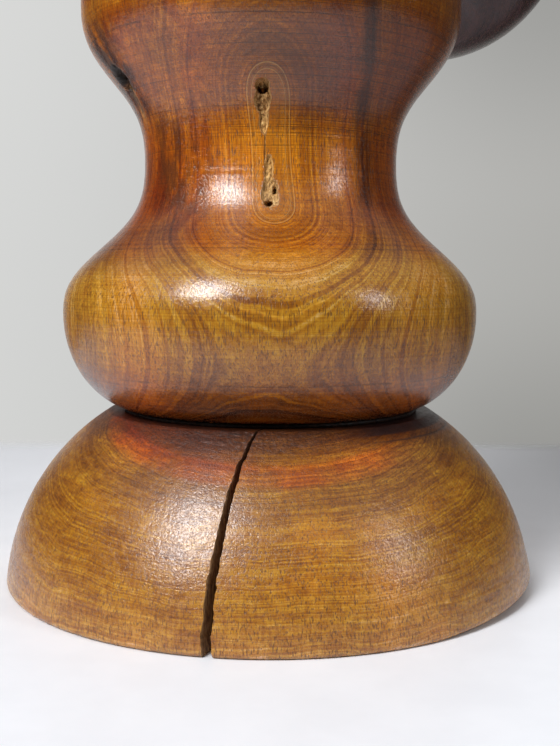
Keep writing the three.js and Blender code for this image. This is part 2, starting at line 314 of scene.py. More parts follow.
# The lightness for the height, plus the growth lines and the noises by their shares, looked up in the
# palette; then reddened by height, veiled by height with a painted reflection of the pale table, and the
# pale lines laid over it. The lightness by height is partly the wood's own tone and partly painted light: a
# painted highlight glow on the hips, painted shade under them and in the bend above them, and a lighter
# painted reflection at the foot's bottom edge.
def woodColour(spot, grain, wood):
    rings, broad, pale = growthLines(spot.grown, grain, wood)
    share = {"Fac": spot.height / wood["rampHeight"]}
    levels = Signal.node(spot.tree, "ShaderNodeValToRGB", {"stops": wood["heights"]}, share)
    level = Signal.node(spot.tree, "ShaderNodeSeparateColor", {}, {"Color": levels})
    lightness, redness, tableVeil = (Signal(output) for output in level.socket.node.outputs)
    marks = (spot.height * wood["markFineness"] + grain.blotch * 1.2).noise(2.0, 0.75) - 0.5
    tone = rings * (1 - spot.height.step(*wood["calmHeights"]) * wood["calm"]) + lightness
    tone = tone + grain.fibre * wood["fibre"] + marks * wood["marks"] + grain.blotch * wood["blotch"]
    tone = tone + grain.figure * wood["figure"] + grain.weave * wood["weave"]
    base = Signal.node(spot.tree, "ShaderNodeValToRGB", {"stops": wood["palette"]}, {"Fac": tone})
    warm = (redness + grain.blotch * 1.2 + broad * 0.5).maths("MAXIMUM", 0).maths("MINIMUM", 1)
    base = mixed(warm, base, woodTints["warm"], "MULTIPLY")
    # painted reflection: a bluish veil, as of the pale table mirrored in the lacquer, laid on by height
    base = mixed(tableVeil, base, woodTints["tableVeilTint"], "MULTIPLY")
    return mixed(pale * wood["paleLines"], base, woodTints["paleLine"], "MULTIPLY")


# Pores are the peaks of a noise drawn out along the fibres. Turning lines are the peaks of a noise along the
# height, darkest over the busy stretch. Also gives the pores' mask and the turning noise for the relief.
def poresAndTurning(base, spot, grain, wood):
    pores = grainNoise(spot.place, wood["poreScale"], 1, 0.5).step(0.54, 0.66)
    base = mixed(pores * wood["poreDarkness"], base, woodTints["pore"])
    lathe = (spot.height * wood["latheFineness"] + grain.weave * 0.9).noise(2.0, 0.8)
    lines = lathe.step(0.5, 0.64) * grain.weave.step(-0.2, 0.04)
    busy = spot.height.within(*wood["busyHeights"]) * (spot.across.step(*wood["busyAcross"]) + 0.2) + 0.4
    return mixed(lines * busy * wood["lathe"], base, woodTints["turningLine"]), pores, lathe


# Solid wood: colour follows the wandering distance from the pith line, then pores, turning lines and torn
# wood. finish adds a piece's own marks: it takes and returns the colour, roughness, coat and relief.
def woodMaterial(name, wood, finish=None):
    material, tree = newMaterial(name)
    place, across, back, height = placeIn(tree, wood["turn"], wood["shift"])
    distance = fromPith(across, back, height, wood)
    patterns = {pattern: grainNoise(place, *values) - 0.5 for pattern, values in grainPatterns.items()}
    grain = SimpleNamespace(**patterns)
    wander = grain.wave * (2 * wood["waveSize"]) + grain.ripple * wood["ripple"]
    grown = distance + wander * distance.step(*wood["wanderFrom"])
    spot = SimpleNamespace(tree=tree, place=place, across=across, back=back, height=height,
                           distance=distance, grown=grown)

    base, pores, lathe = poresAndTurning(woodColour(spot, grain, wood), spot, grain, wood)
    torn = Signal.node(tree, "ShaderNodeAttribute", {"attribute_name": "torn"}, output="Fac")
    fibres = grainNoise(place, (1.6, 1.6, 0.3), 3, 0.7)
    splinter = Signal.node(tree, "ShaderNodeValToRGB", {"stops": splinterPalette}, {"Fac": fibres})
    base = mixed(torn, base, mixed(torn, splinter, colour(*wood["tornTint"]), "MULTIPLY"))
    rough = wood["roughness"] + grain.weave * 0.1 + pores * 0.1 + torn * wood["tornRoughness"]
    coat = (1 - torn) * wood["coat"]
    relief = grain.fibre * wood["fibreDepth"] + lathe * wood["grooves"] + grain.weave * wood["weaveDepth"]
    relief = relief + grain.dimple * wood["dimples"] - pores * wood["poreDepth"]
    if finish:
        base, rough, coat, relief = finish(spot, base, rough, coat, relief)
    relief = relief + torn * fibres * wood["tornDepth"]
    sockets = {"Height": relief, "Distance": millimetre, "Strength": 1.0}
    closeMaterial(tree, {
        "Base Color": base,
        "Roughness": rough,
        "Normal": Signal.node(tree, "ShaderNodeBump", {}, sockets),
        "Specular IOR Level": wood["shine"],
        "Coat Weight": coat,
        "Coat Roughness": wood["coatRoughness"],
        "Coat IOR": 1.5,
    })
    return material


# The front frame has +X to the viewer's right and -Y towards the viewer, on the pith side.
def fromFront(points):
    turn = math.radians(frontAngle - 270)
    cosine, sine = math.cos(turn), math.sin(turn)
    x, y, z = np.moveaxis(np.asarray(points, float), -1, 0)
    return np.stack([x * cosine - y * sine, x * sine + y * cosine, z], axis=-1)


# Corners of the quads of a grid of points, row by row; a closed grid joins its last column to its first.
def gridFaces(rows, columns, closed=True, start=0):
    down = np.arange(rows - 1)[:, None] * columns
    across = np.arange(columns if closed else columns - 1)[None, :]
    following = (across + 1) % columns
    below = down + columns
    quads = np.stack([down + across, down + following, below + following, below + across], axis=-1)
    return quads.reshape(-1, 4) + start


# From 0 to 1 with level ends: three times the square less twice the cube.
def softStep(value):
    value = np.clip(value, 0, 1)
    return value * value * (3 - 2 * value)


fallOff = 0.35            # power of a wave's length that its share of a smooth random surface follows


# Smooth random numbers along a line: a sum of sines of many lengths, with smaller shares for shorter ones.
def waver(places, seed, shortest, longest, count=24):
    chance = np.random.RandomState(seed)
    lengths = np.geomspace(shortest, longest, count)
    total = np.zeros_like(places, float)
    for length in lengths:
        total += (length / longest) ** fallOff * np.sin(2 * math.pi * (places / length + chance.rand()))
    return total / math.sqrt(count)


# Smooth random numbers over two parameters: a sum of plane waves in random directions.
def waverTwo(first, second, seed, shortest, longest, count=40):
    chance = np.random.RandomState(seed)
    total = np.zeros(np.broadcast(first, second).shape)
    for length in np.geomspace(shortest, longest, count):
        turn = chance.rand() * math.pi
        phase = (first * math.cos(turn) + second * math.sin(turn)) / length + chance.rand()
        total += (length / longest) ** fallOff * np.sin(2 * math.pi * phase)
    return total / math.sqrt(count)


mergeWithin = 0.0004      # millimetres
collapseUnder = 0.0002


# A mesh object at the origin, from points in millimetres; doubles merged, faces turned outwards.
def makePiece(name, points, faces, material, node, torn=None, sharp=50):
    mesh = bpy.data.meshes.new(name)
    mesh.from_pydata((np.asarray(points) * millimetre).tolist(), [], np.asarray(faces).tolist())
    if torn is not None:
        attribute = mesh.attributes.new("torn", "FLOAT", "POINT")
        attribute.data.foreach_set("value", np.asarray(torn, np.float32).ravel())
    work = bmesh.new()
    work.from_mesh(mesh)
    bmesh.ops.remove_doubles(work, verts=work.verts, dist=mergeWithin * millimetre)
    bmesh.ops.dissolve_degenerate(work, edges=work.edges, dist=collapseUnder * millimetre)
    bmesh.ops.recalc_face_normals(work, faces=work.faces)
    work.to_mesh(mesh)
    work.free()
    mesh.polygons.foreach_set("use_smooth", [True] * len(mesh.polygons))
    mesh.set_sharp_from_angle(angle=math.radians(sharp))
    mesh.materials.append(material)
    piece = bpy.data.objects.new(name, mesh)
    bpy.context.scene.collection.objects.link(piece)
    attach(piece, "root")
    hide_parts(node)
    print("made", name, len(mesh.polygons), "faces")
    return piece


foot = {
    "radius": 75.0,
    "edge": 1.4,
    "arcCentre": (14.06, -4.6),   # of the dome's outline, radius and height
    "arcRadius": 61.3,
    "seatHeight": 47.6,
    "warpLift": 2.4,
    "warpStart": 40.0,            # how far right the lift starts, and the height at which it has died away
    "warpHeight": 9.0,
    "checkTurn": -21.2,           # direction of the drying check about the pith, in degrees from the viewer
    "checkHalf": 1.75,            # half of its opening, in degrees
    "checkRough": 0.09,
    "checkNear": 3.0,             # degrees over which its wandering dies away
    "wander": (0.22, 0.1),        # slow and quick wandering of its line, in millimetres
    "wallRough": 0.25,
    "toolWaves": 0.02,
    "chatterFrom": 42.5,          # torn chatter under the seam: its height, its middle round the foot, depth
    "chatterTurn": -0.5,
    "chatterDepth": 0.13,
    "grooveHalf": 0.25,
    "grooveDepth": 0.25,
    "grooveTurn": 0.7,
    "rays": 230,
    "rings": 17,
}
# heights of the stain's lower edge and of the groove below it
seatStain = {"line": 45.6, "groove": 44.4, "fade": 0.35, "colour": colour(0.020, 0.008, 0.010)}
seatRadius = 45.0
pith = np.array([0.0, -37.0])


# Radius of the foot at a height: a circular arc up to the seat.
def footRadius(height):
    centre, low = foot["arcCentre"]
    return centre + np.sqrt(np.clip(foot["arcRadius"] ** 2 - (height - low) ** 2, 0, None))


# The dome as rays from the pith: each ray meets the circle of the dome's radius at that height.
def makeFoot(material):
    fromCheck = np.concatenate([np.arange(0, 4, 0.25), np.arange(4, 16, 0.8)])
    opening, middle, seat = foot["checkHalf"], foot["checkTurn"], foot["seatHeight"]
    regular = np.linspace(fromCheck[-1] + 1, 360 - 2 * opening - fromCheck[-1] - 1, foot["rays"])
    columns = np.concatenate([fromCheck, regular, 360 - 2 * opening - fromCheck[::-1]]) + opening
    heights = np.concatenate([
        [0.0, 0.35, 0.8, 1.4], np.arange(2.0, 42, 0.45), np.arange(42, seat, 0.2), [seat],
    ])
    shares = np.concatenate([[1.0, 0.985, 0.96], np.linspace(0.92, 0.0, foot["rings"])])

    grid = heights[:, None]
    edge = np.clip(1 - grid / foot["edge"], 0, 1)
    radius = footRadius(np.maximum(grid, foot["edge"])) - foot["edge"] * (1 - np.sqrt(1 - edge ** 2)) * 0.8
    slow, quick = foot["wander"]
    sideWander = waver(grid, 3, 4, 40) * slow + waver(grid, 4, 1.2, 6) * quick
    turn = np.radians(columns[None, :] + middle)
    fromGap = np.minimum(columns - opening, 360 - opening - columns)
    nearCheck = np.exp(-fromGap / foot["checkNear"])[None, :]
    reach = np.maximum(radius + pith[1], 8)
    chips = np.abs(waver(grid, 5, 0.7, 3)) * foot["checkRough"]
    lip = np.where(columns < 180, 1.0, -1.0)[None, :]
    turn = turn + (sideWander + lip * chips) / reach * nearCheck

    # how far from the pith a ray meets a circle about the axis: the root of a quadratic
    def meet(turn, radius):
        right, front = np.sin(turn), -np.cos(turn)
        along = pith[0] * right + pith[1] * front
        return -along + np.sqrt(along ** 2 - pith @ pith + radius ** 2)

    distance = meet(turn, radius)
    around = np.arctan2(pith[0] + distance * np.sin(turn), -(pith[1] - distance * np.cos(turn)))
    ridges = waver(grid + 0.4 * np.sin(around), 7, 1.4, 9) * foot["toolWaves"]
    chatter = np.clip(1.4 - np.abs(around - foot["chatterTurn"]), 0, 1)
    chatter = chatter * np.clip((grid - foot["chatterFrom"]) / 2, 0, 1) * foot["chatterDepth"]
    bumps = waverTwo(around * seatRadius, grid * 1.6, 8, 0.9, 4)
    groove = np.exp(-((grid - seatStain["groove"]) / foot["grooveHalf"]) ** 2) * foot["grooveDepth"]
    groove = groove * softStep((around - foot["grooveTurn"]) / 0.5)
    distance = distance + ridges + chatter * bumps - groove

    # the warped edge: a lift that grows to the right and dies away upwards
    def warped(right, height):
        share = np.clip((right - foot["warpStart"]) / (foot["radius"] - foot["warpStart"]), 0, 1)
        return height + share * foot["warpLift"] * np.clip(1 - height / foot["warpHeight"], 0, 1)

    # points from a turn about the pith, a distance from it and a height
    def lay(turn, distance, height):
        right = pith[0] + distance * np.sin(turn)
        back = pith[1] - distance * np.cos(turn)
        height = np.broadcast_to(height, right.shape)
        return np.stack([right, back, warped(right, height)], axis=-1)

    dome = lay(turn, distance, grid)
    bottom = lay(turn[:1], distance[:1] * shares[1:, None], np.zeros((1, 1)))
    top = lay(turn[-1:], distance[-1:] * shares[1:, None], np.full((1, 1), seat))
    points = np.concatenate([top[::-1], dome[::-1], bottom])
    faces = [gridFaces(*points.shape[:2], closed=False)]
    start = points.shape[0] * points.shape[1]
    allPoints, allTorn = [points.reshape(-1, 3)], [np.zeros(start)]

    # the walls of the check: the same rays' ends at every height, drawn in towards the pith
    for column in (0, -1):
        inward = shares[:, None] * distance[:, column][None, :]
        wallTurn = np.broadcast_to(turn[:, column][None, :], inward.shape)
        fade = np.sin(math.pi * np.clip(shares, 0, 1))[:, None]
        edgeFade = np.minimum(1, np.minimum(heights, seat - heights) / 2)[None, :]
        rough = waverTwo(inward, heights[None, :] * 0.35, 9 + column, 1.2, 7) * foot["wallRough"]
        wall = lay(wallTurn, inward, heights[None, :])
        wall[..., 0] += rough * fade * edgeFade
        allPoints.append(wall.reshape(-1, 3))
        depth = np.clip((1 - shares) * 60, 0, 1)[:, None] * np.ones_like(inward)
        allTorn.append(depth.ravel())
        faces.append(gridFaces(*wall.shape[:2], closed=False, start=start))
        start += wall.shape[0] * wall.shape[1]
    return makePiece("foot_turned", fromFront(np.concatenate(allPoints)), np.concatenate(faces),
                     material, "foot", np.concatenate(allTorn))


body = {
    "bottom": 48.8,
    "top": 250.0,
    "hipLine": 75.0,
    "hipRadius": 58.6,
    "tuck": 22.6,
    "tuckHeight": 27.2,
    "hipSpan": 22.0,
    "hipPower": 2.65,
    "waistRadius": 35.4,
    "torsoLine": 160.0,
    "torsoRadius": 52.7,
    "torsoSpan": 23.7,
    "torsoPower": 2.85,
    "shoulderRadius": 24.3,
    "shoulderRoundness": 2.3,
    "toolWaves": 0.018,
}
pithHollow = {
    # right of the pith side in millimetres, height, half width, half height, depth
    "upper": (-2.1, 130.2, 2.0, 4.0, 1.5),
    "upperDeep": (-2.3, 132.6, 1.7, 1.5, 5.0),
    "upperTail": (-1.8, 125.6, 1.2, 4.0, 0.9),
    "split": (-1.5, 119.4, 0.16, 6.0, 0.35),
    "lowerTail": (-0.5, 111.6, 1.1, 4.4, 0.8),
    "lower": (-0.1, 106.5, 2.2, 3.6, 1.1),
    "lowerDeep": (-0.5, 103.9, 1.1, 0.7, 3.4),
    "lowerSide": (1.1, 107.2, 0.5, 0.9, 2.6),
}
barkPocket = {
    "turn": -67.5,                # degrees from the viewer
    "height": 138.0,
    "halfWidth": 3.6,
    "halfHeight": 3.0,
    "depth": 6.0,
    "seamHeight": 136.0,
    "seamHalf": 1.6,
    "roughHeight": 11.0,
}


# Radius of the body at a height: quarter ellipse, bell of the hips, bell of the torso, then the shoulders.
def bodyRadius(height):
    height = np.asarray(height, float)
    under = np.sqrt(np.clip(1 - ((body["hipLine"] - height) / body["tuckHeight"]) ** 2, 0, 1))
    tucked = body["hipRadius"] - body["tuck"] * (1 - under)
    hip = np.exp(-(np.clip(height - body["hipLine"], 0, None) / body["hipSpan"]) ** body["hipPower"])
    chest = np.exp(-(np.clip(body["torsoLine"] - height, 0, None) / body["torsoSpan"]) ** body["torsoPower"])
    middle = (body["waistRadius"] + (body["hipRadius"] - body["waistRadius"]) * hip
              + (body["torsoRadius"] - body["waistRadius"]) * chest)
    rise = np.clip((height - body["torsoLine"]) / (body["top"] - body["torsoLine"]), 0, 1)
    sine = rise ** (body["shoulderRoundness"] / 2)
    spread = body["torsoRadius"] - body["shoulderRadius"]
    shoulder = body["shoulderRadius"] + spread * np.sqrt(np.clip(1 - sine ** 2, 0, 1))
    return np.where(height < body["hipLine"], tucked, np.where(height < body["torsoLine"], middle, shoulder))


# Rows closer together where the outline turns quickly: steps of equal angle round the hips' quarter ellipse
# and over the shoulders, and even steps between.
def bodyHeights():
    hipLine, torsoLine, tuck = body["hipLine"], body["torsoLine"], body["tuckHeight"]
    lowest = np.arcsin((hipLine - body["bottom"]) / tuck)
    under = hipLine - tuck * np.sin(np.linspace(lowest, 0, 62))
    over = np.sin(np.linspace(0, math.pi / 2, 74)[1:]) ** (2 / body["shoulderRoundness"])
    return np.concatenate([
        under[:-1], np.arange(hipLine, 98, 0.6), np.arange(98, 138.5, 0.3), np.arange(138.5, torsoLine, 0.5),
        [torsoLine], torsoLine + (body["top"] - torsoLine) * over,
    ])


# A turned surface with hollows pressed in: depth falls from a flat floor to nothing at a ragged oval edge.
def makeBody(material):
    heights = bodyHeights()
    degrees = np.concatenate([
        np.arange(-180, -86, 2.5), np.arange(-86, -60, 0.6), np.arange(-60, -9, 2.2),
        np.arange(-9, 7, 0.25), np.arange(7, 180, 2.3),
    ])
    turn = np.radians(degrees)[None, :]
    grid = heights[:, None]
    radius = bodyRadius(grid) + waver(grid + 0.3 * np.sin(turn), 21, 1.3, 8) * body["toolWaves"]
    across = radius * turn

    torn = np.zeros(np.broadcast(grid, turn).shape)
    depth = np.zeros_like(torn)
    ragged = waverTwo(across, grid, 22, 0.8, 5)
    for right, middle, halfWidth, halfHeight, deep in pithHollow.values():
        away = np.hypot((across - right) / halfWidth, (grid - middle) / halfHeight) + 0.12 * ragged
        depth = np.maximum(depth, softStep((1.1 - away) / 0.25) * deep * (1 + 0.35 * ragged))
        torn = np.maximum(torn, np.clip((1.12 - away) / 0.12, 0, 1))
    fromPocket = (turn - math.radians(barkPocket["turn"])) * radius
    rise = (grid - barkPocket["height"]) / barkPocket["halfHeight"]
    away = np.hypot(fromPocket / barkPocket["halfWidth"], rise) + 0.2 * ragged
    inside = np.clip((1.1 - away) / 0.35, 0, 1)
    depth = np.maximum(depth, inside * barkPocket["depth"])
    torn = np.maximum(torn, np.clip((1.35 - away) / 0.3, 0, 1))
    reach = np.clip(1 - np.abs(grid - barkPocket["seamHeight"]) / barkPocket["roughHeight"], 0, 1)
    seam = np.exp(-(fromPocket / barkPocket["seamHalf"]) ** 2) * reach
    depth = np.maximum(depth, seam * (0.5 + 0.5 * np.abs(ragged)))
    torn = np.maximum(torn, np.clip(seam * 1.3, 0, 1))
    radius = radius - depth

    shares = np.array([0.97, 0.9, 0.75, 0.5, 0.25, 0.0])
    radii = np.concatenate([radius[0] * shares[::-1, None], radius, radius[-1] * shares[:, None]])
    flat = np.zeros((shares.size, degrees.size))
    levels = np.concatenate([flat + heights[0], np.broadcast_to(grid, radius.shape), flat + heights[-1]])
    torn = np.concatenate([flat, torn, flat])
    points = np.stack([radii * np.sin(turn), -radii * np.cos(turn), levels], axis=-1)
    return makePiece("body_turned", fromFront(points.reshape(-1, 3)), gridFaces(*points.shape[:2]),
                     material, "body", torn)


pitch = {"radius": 42.1, "bottom": 47.6, "top": 48.85, "spread": 0.8, "columns": 260}


# A thin disc of hard black pitch with a half-round rim, whose radius wanders and swells on the right.
def makePitch(material):
    turn = np.linspace(0, 2 * math.pi, pitch["columns"], endpoint=False)[None, :]
    middle, half = (pitch["bottom"] + pitch["top"]) / 2, (pitch["top"] - pitch["bottom"]) / 2
    rim = np.linspace(-math.pi / 2, math.pi / 2, 13)[:, None]
    uneven = waver(turn * 42, 31, 2, 30) * pitch["spread"] * 0.35
    uneven = uneven + np.clip(np.sin(turn + 0.2), 0, 1) * 0.3
    radii = pitch["radius"] + uneven + half * np.cos(rim) - half
    levels = middle + half * np.sin(rim) * np.ones_like(turn)
    shares = np.array([0.0, 0.5, 0.9])[:, None]
    radii = np.concatenate([radii[:1] * shares, radii, radii[-1:] * shares[::-1]])
    flat = np.zeros((shares.size, pitch["columns"]))
    levels = np.concatenate([flat + levels[0, 0], levels, flat + levels[-1, 0]])
    points = np.stack([radii * np.sin(turn), -radii * np.cos(turn), levels], axis=-1)
    return makePiece("pitch_joint", fromFront(points.reshape(-1, 3)), gridFaces(*points.shape[:2]),
                     material, "joint_resin", sharp=180)


breast = {
    "radius": 41.5,
    "reach": 57.0,                # from the lathe axis to the ball's middle
    "height": 194.6,
    "spread": 39.0,               # degrees to each side of the doll's front
    "gap": 0.3,
    "rows": 150,
    "columns": 260,
    "trials": 90,                 # steps along each ray in search of the torso
}


# A ball as rays from its middle: each ends at the ball's radius, at the torso or at the plane between the
# balls, whichever comes first, found by steps and a straight line between the last two.
def makeBreast(side, material):
    name = "right" if side < 0 else "left"
    aim = math.radians(-90 + side * breast["spread"])
    centre = np.array([breast["reach"] * math.cos(aim), breast["reach"] * math.sin(aim), breast["height"]])
    lift = np.linspace(-math.pi / 2, math.pi / 2, breast["rows"])[:, None]
    turn = np.linspace(0, 2 * math.pi, breast["columns"], endpoint=False)[None, :]
    level = np.cos(lift)
    ray = np.stack(np.broadcast_arrays(level * np.cos(turn), level * np.sin(turn), np.sin(lift)), axis=-1)
    full = breast["radius"] + waver(lift * breast["radius"], 41, 1.5, 9) * 0.015 * np.ones_like(turn)
    trial = np.linspace(0, 1, breast["trials"])
    reached = full.copy()
    clear = np.ones(reached.shape, bool)
    before = np.full(reached.shape, 1.0)
    for step in trial[1:]:
        point = centre + ray * (full * step)[..., None]
        space = np.hypot(point[..., 0], point[..., 1]) - bodyRadius(point[..., 2]) - breast["gap"]
        space = np.minimum(space, side * point[..., 0] - breast["gap"] / 2)
        crossed = clear & (space < 0)
        part = np.clip(before / np.where(crossed, before - space, 1), 0, 1)
        stop = full * (step - trial[1] * (1 - part))
        reached = np.where(crossed, stop, reached)
        clear &= ~crossed
        before = space
    points = centre + ray * reached[..., None]
    return makePiece(f"breast_{name}_turned", points.reshape(-1, 3), gridFaces(*points.shape[:2]),
                     material, f"breast_{name}", sharp=38)


neck = {"bottom": 250.3, "rings": 4, "ringHeight": 8.6, "coreRadius": 15.5, "bead": 4.8}


# Beads one above another: the radius follows half a circle over each ring's height.
def makeNeck(material):
    phase = np.linspace(0, math.pi, 25)
    radii, levels = [], []
    for ring in range(neck["rings"]):
        bottom = neck["bottom"] + ring * neck["ringHeight"]
        uneven = 1 + 0.04 * math.sin(2.3 * ring + 0.7)
        radii.append(neck["coreRadius"] + neck["bead"] * uneven * np.sin(phase))
        levels.append(bottom + neck["ringHeight"] * (1 - np.cos(phase)) / 2)
    radii, levels = np.concatenate(radii), np.concatenate(levels)
    keep = np.concatenate([[True], np.diff(levels) > 1e-6])
    radii, levels = radii[keep], levels[keep]
    radii = np.concatenate([[0, 8], radii, [8, 0]])
    levels = np.concatenate([[levels[0]] * 2, levels, [levels[-1]] * 2])
    turn = np.linspace(0, 2 * math.pi, 180, endpoint=False)
    radii, levels = radii[:, None], levels[:, None] * np.ones_like(turn)
    radii = radii + 0.02 * np.sin(5 * turn + levels) * (radii > 9)
    points = np.stack([radii * np.cos(turn), radii * np.sin(turn), levels], axis=-1)
    return makePiece("neck_turned", points.reshape(-1, 3), gridFaces(*points.shape[:2]),
                     material, "neck", sharp=60)


head = {
    "centre": 339.8, "seat": 285.0, "radius": 59.0, "halfDepth": 22.0, "fullness": 3.0,
    "browWidth": 50.0, "browRise": 9.0, "browHeight": 10.0, "browBand": 5.0, "browRelief": 2.0,
    "noseWidth": 10.0, "noseLength": 30.0, "noseRelief": 4.4,
    "eyeApart": 30.0, "eyeDrop": 8.0, "eyeWidth": 15.0, "eyeBand": 5.5, "eyeRelief": 1.7,
    "mouthDrop": 34.0, "mouthWidth": 15.0, "mouthBand": 6.0, "mouthRelief": 1.7,
    "softEdge": 0.8,              # how far each feature runs out past its size
    "grooveRadius": 52.5, "grooveHalf": 0.55, "grooveDepth": 0.5,
    "rings": 130, "columns": 330,
}


# Height of the carving over the disc's front: two arched brows, a wedge nose, closed lids and small lips.
def faceRelief(x, z):
    top, halfBrow, soft = head["browHeight"] - head["browBand"] / 2, head["browWidth"] / 2, head["softEdge"]
    arch = top + 0.6 * head["browRise"] * np.sin(math.pi * np.clip(np.abs(x) / halfBrow, 0, 1))
    inSpan = softStep((halfBrow + 1 - np.abs(x)) / 4)
    brow = head["browRelief"] * softStep(1.25 - np.abs(z - arch) / (head["browBand"] / 2)) * inSpan
    down = np.clip((top - z) / head["noseLength"], 0, 1)
    halfNose = head["noseWidth"] / 2 * (0.4 + 0.6 * down)
    noseEnd = softStep((z - (top - head["noseLength"]) + 1.2) / 2.4) * softStep((top + 2 - z) / 3)
    ridge = np.sqrt(np.clip(1 - (x / (halfNose + soft)) ** 2, 0, 1))
    nose = (0.45 + 0.55 * down) * head["noseRelief"] * ridge * noseEnd
    relief = np.maximum(brow, nose)
    eyeLine = head["browHeight"] - head["browBand"] - head["eyeDrop"]
    for side in (-1, 1):
        u = (x - side * head["eyeApart"] / 2) / (head["eyeWidth"] / 2 + soft)
        v = (z - eyeLine) / (head["eyeBand"] / 2 + soft)
        lid = head["eyeRelief"] * np.sqrt(np.clip(1 - u ** 2 - v ** 2, 0, 1))
        crease = 0.5 * np.exp(-((v + 0.25 * (1 - u ** 2)) / 0.14) ** 2) * (np.abs(u) < 1)
        relief = np.maximum(relief, lid - crease * (lid > 0.05))
    u = x / (head["mouthWidth"] / 2 + soft)
    v = (z - head["browHeight"] + head["mouthDrop"]) / (head["mouthBand"] / 2 + soft)
    lips = head["mouthRelief"] * np.sqrt(np.clip(1 - u ** 2 - v ** 2, 0, 1))
    return np.maximum(relief, lips - 0.7 * np.exp(-(v / 0.16) ** 2) * (lips > 0.05))


# A lens on edge: depth = half thickness times the root of 1 - (distance / radius)^fullness, on both faces.
def makeHead(material):
    shares = np.sin(np.linspace(0, math.pi / 2, head["rings"])) ** 0.9
    turn = np.linspace(0, 2 * math.pi, head["columns"], endpoint=False)[None, :]
    away = shares[:, None] * head["radius"]
    depth = head["halfDepth"] * np.sqrt(np.clip(1 - shares ** head["fullness"], 0, 1))[:, None]
    x, z = away * np.cos(turn), away * np.sin(turn)
    waves = waver(away, 51, 1.4, 9) * 0.02 * (shares < 0.985)[:, None]
    groove = head["grooveDepth"] * np.exp(-((away - head["grooveRadius"]) / head["grooveHalf"]) ** 2)
    front = np.stack([x, -(depth + waves + faceRelief(x, z) - groove), z], axis=-1)
    back = np.stack([x, depth * np.ones_like(x) + waves, z], axis=-1)
    points = np.concatenate([front, back[-2::-1]])
    points[..., 2] = np.maximum(points[..., 2] + head["centre"], head["seat"])
    return makePiece("head_disc", points.reshape(-1, 3), gridFaces(*points.shape[:2]),
                     material, "head", sharp=60)


footLacquer = dict(
    goldenWood,
    pithSway=0.0,
    waveSize=2.2,
    ripple=0.8,
    fineness=2.8,
    bands=0.16,
    lateLines=0.03,
    figure=0.34,
    paleLines=0.1,
    poreScale=(3.6, 3.6, 0.7),
    tornTint=(0.6, 0.46, 0.36),
    lathe=0.24,
    coat=0.3,
    coatRoughness=0.4,
    shine=0.62,
    roughness=0.2,
    dimples=0.085,
)
# Pairs are where a mark starts and where it is full, in millimetres: heights, places across, or distances
# from the pith line.
footMarks = {
    "chatterHeights": (41.5, 45.0),
    "chatterAcross": (34, 10),
    "chatterColour": colour(0.05, 0.014, 0.007),
    "flakeColour": colour(0.42, 0.2, 0.09),
    "upperHeights": (24, 34),
    "insideRings": (42, 37),
    "duskAcross": (2, -16),
    "duskTint": colour(0.58, 0.34, 0.16),
    "emberRings": ((44.5, 42), (35.5, 38.5)),
    "emberAcross": (40, 22),
    "emberTint": colour(1.35, 0.72, 0.2),
    "arcRings": (56, 46),
    "arcTint": colour(0.36, 0.26, 0.2),
    # painted shadow of the overhanging hips on the top of the foot: its heights and tint
    "hipShadowHeights": (42.5, 46),
    "hipShadowTint": colour(0.4, 0.28, 0.26),
    "grooveHalf": 0.3,
    "grooveAcross": (22, 32),
    "stainAcross": (16, 30),
    "dullHeights": (36, 43),
    "thinCoatHeights": (34, 43),
    "wearDepth": 0.12,
    "chatterDepth": 0.08,
}


# What only the foot has: dark arcs and an orange band that follow the growth rings on the upper dome, torn
# chatter under the seam on the left, painted shadow of the hips across the top of the dome, and dark stain
# in the groove and on the seat on the right.
def footFinish(spot, base, rough, coat, relief):
    height, across, distance, marks = spot.height, spot.across, spot.distance, footMarks
    speck = grainNoise(spot.place, (1.5, 1.5, 2.6), 2, 0.7)
    cloud = grainNoise(spot.place, (0.08, 0.08, 0.08), 2, 0.6)
    chatter = height.step(*marks["chatterHeights"]) * across.step(*marks["chatterAcross"])
    base = mixed(speck.step(0.5, 0.62) * chatter * 0.7, base, marks["chatterColour"])
    base = mixed(speck.step(0.42, 0.3) * chatter * 0.45, base, marks["flakeColour"])
    above = height.step(*marks["upperHeights"])
    dusk = distance.step(*marks["insideRings"]) * above * (0.2 + across.step(*marks["duskAcross"]) * 0.75)
    base = mixed(dusk, base, marks["duskTint"], "MULTIPLY")
    ember = distance.within(*marks["emberRings"]) * above * (0.45 + cloud.step(0.35, 0.6) * 0.55)
    base = mixed(ember * across.step(*marks["emberAcross"]) * 0.8, base, marks["emberTint"], "MULTIPLY")
    arcs = (distance * 0.85 + cloud * 3).noise(2.0, 0.65).step(0.3, 0.7)
    base = mixed(arcs * distance.step(*marks["arcRings"]) * above * 0.5, base, marks["arcTint"], "MULTIPLY")
    # painted shadow: the top of the dome, under the overhanging hips, is painted darker
    base = mixed(height.step(*marks["hipShadowHeights"]) * 0.6, base, marks["hipShadowTint"], "MULTIPLY")
    groove = height.peak(seatStain["groove"], marks["grooveHalf"]) * across.step(*marks["grooveAcross"])
    base = mixed(groove * 0.8, base, seatStain["colour"])
    line = seatStain["line"]
    stain = height.step(line, line + seatStain["fade"]) * across.step(*marks["stainAcross"])
    base = mixed(stain * 0.9, base, seatStain["colour"])
    wear = grainNoise(spot.place, (0.5, 0.5, 0.5), 3, 0.7)
    rough = rough + chatter * 0.15 + wear.step(0.4, 0.7) * 0.12 + height.step(*marks["dullHeights"]) * 0.1
    coat = coat * (1 - height.step(*marks["thinCoatHeights"]) * 0.8)
    return base, rough, coat, relief + speck * chatter * marks["chatterDepth"] + wear * marks["wearDepth"]


